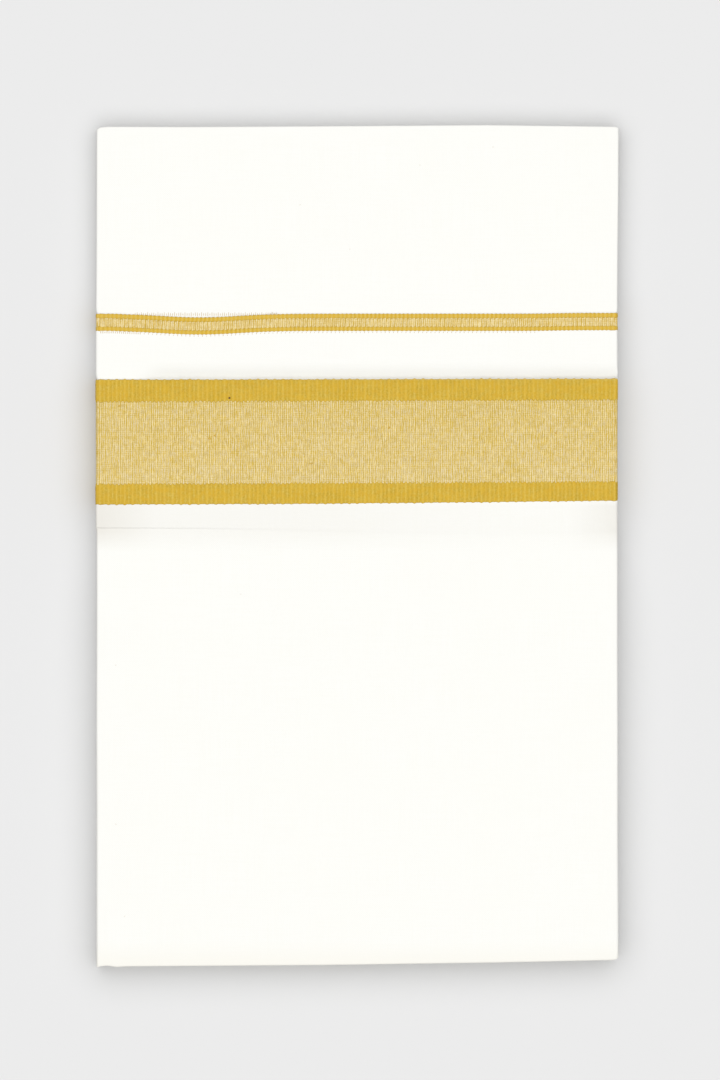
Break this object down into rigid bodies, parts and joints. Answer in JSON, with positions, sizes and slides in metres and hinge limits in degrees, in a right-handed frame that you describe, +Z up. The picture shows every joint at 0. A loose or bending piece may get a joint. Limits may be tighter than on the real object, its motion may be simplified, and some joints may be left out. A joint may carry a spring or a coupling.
{
  "type": "folded dhoti cloth",
  "caption": "White cotton dhoti with woven gold borders, folded and pressed into a flat oblong pack that lies on its back.",
  "frame": {"origin": "middle of the pack's outline, on the surface that it lies on", "axes": "+Z up out of the face, +Y along the pack towards its top fold, +X to the right of the face, away from the spine fold"},
  "size_m": [0.2286, 0.3675, 0.0143],
  "materials": {
    "white_cotton": "fine plain weave mull, matt, pressed flat",
    "gold_band": "ribbed gold thread band with a soft metallic sheen",
    "gold_tissue": "gold weft on cream warp, with slubs and a faint sheen",
    "gold_mesh": "narrow gold tissue between two gold cords"
  },
  "bodies": {
    "root": {"inner_layers": "white_cotton", "upper_panel": "white_cotton", "middle_strip": "white_cotton", "lower_panel": "white_cotton", "narrow_border": "gold_mesh", "wide_border_upper_band": "gold_band", "wide_border_tissue": "gold_tissue", "wide_border_lower_band": "gold_band"}
  },
  "joints": []
}
